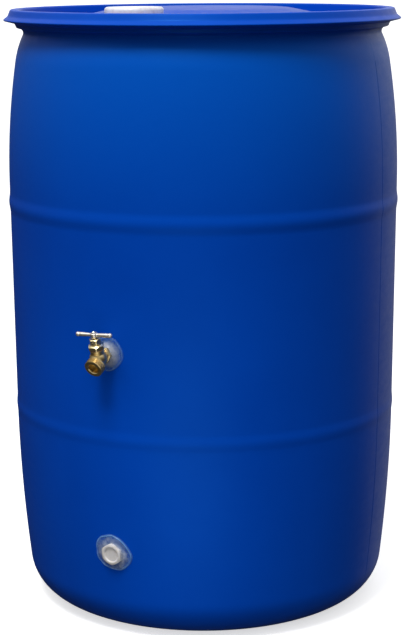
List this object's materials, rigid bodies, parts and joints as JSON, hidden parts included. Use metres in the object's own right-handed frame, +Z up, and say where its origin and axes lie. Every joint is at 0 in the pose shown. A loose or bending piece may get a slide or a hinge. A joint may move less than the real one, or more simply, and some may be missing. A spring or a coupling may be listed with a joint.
{
  "type": "rain barrel",
  "caption": "Closed plastic drum for rainwater, with a brass tee-handled tap on its side, a plastic drain plug near its foot and screw bungs in its head.",
  "frame": {"origin": "on the ground, in the middle of the drum's standing ring, on the drum's axis", "axes": "+Z up along the drum's axis; -Y towards the side that carries the tap, the drain plug and the inlet bung; +X to the right for someone facing the tap"},
  "size_m": [0.5849, 0.6253, 0.8955],
  "materials": {
    "drum_plastic": "blow-moulded polyethylene, soft sheen",
    "bung_plastic": "injection-moulded polypropylene",
    "gasket_rubber": "moulded rubber",
    "cast_brass": "tumbled casting with machined faces",
    "turned_brass": "turned from bar",
    "screw_steel": "plated",
    "fibre_washer": "vulcanised fibre",
    "packing": "graphited packing",
    "thread_tape": "thin tape wound on a thread",
    "sealant": "translucent silicone, smoothed by finger",
    "plug_plastic": "injection-moulded nylon"
  },
  "bodies": {
    "drum": {"drum_shell": "drum_plastic", "tap_body": "cast_brass", "bonnet_washer": "fibre_washer", "bonnet": "turned_brass", "packing_ring": "packing", "packing_nut": "turned_brass", "tap_thread_tape": "thread_tape", "tap_sealant": "sealant", "drain_plug": "plug_plastic", "drain_thread_tape": "thread_tape", "drain_sealant": "sealant"},
    "inlet_seal": {"inlet_gasket": "gasket_rubber"},
    "inlet_bung": {"inlet_bung": "bung_plastic"},
    "rear_seal": {"rear_gasket": "gasket_rubber"},
    "rear_bung": {"rear_bung": "bung_plastic"},
    "valve_disc": {"seat_washer": "gasket_rubber"},
    "handle": {"stem": "turned_brass", "washer_screw": "turned_brass", "tee_handle": "cast_brass", "handle_screw": "screw_steel"}
  },
  "joints": [
    {"name": "inlet_rise", "type": "slide", "parent": "drum", "child": "inlet_seal", "axis": [0, 0, 1], "range_m": [0, 0.021]},
    {"name": "inlet_unscrew", "type": "hinge", "parent": "inlet_seal", "child": "inlet_bung", "pos_m": [0, -0.2, 0.882], "axis": [0, 0, 1], "range_deg": [0, 1260]},
    {"name": "rear_rise", "type": "slide", "parent": "drum", "child": "rear_seal", "axis": [0, 0, 1], "range_m": [0, 0.01386]},
    {"name": "rear_unscrew", "type": "hinge", "parent": "rear_seal", "child": "rear_bung", "pos_m": [0, 0.2, 0.8735], "axis": [0, 0, 1], "range_deg": [0, 2160]},
    {"name": "seat_lift", "type": "slide", "parent": "drum", "child": "valve_disc", "axis": [0, -0.2924, 0.9563], "range_m": [0, 0.0045]},
    {"name": "handle_turn", "type": "hinge", "parent": "valve_disc", "child": "handle", "pos_m": [0, -0.31199, 0.424], "axis": [0, -0.2924, 0.9563], "range_deg": [0, 810]}
  ],
  "couplings": [
    {"joint": "inlet_rise", "follows": "inlet_unscrew", "m_per_rad": 0.00095492},
    {"joint": "rear_rise", "follows": "rear_unscrew", "m_per_rad": 0.00036748},
    {"joint": "seat_lift", "follows": "handle_turn", "m_per_rad": 0.0003183}
  ]
}
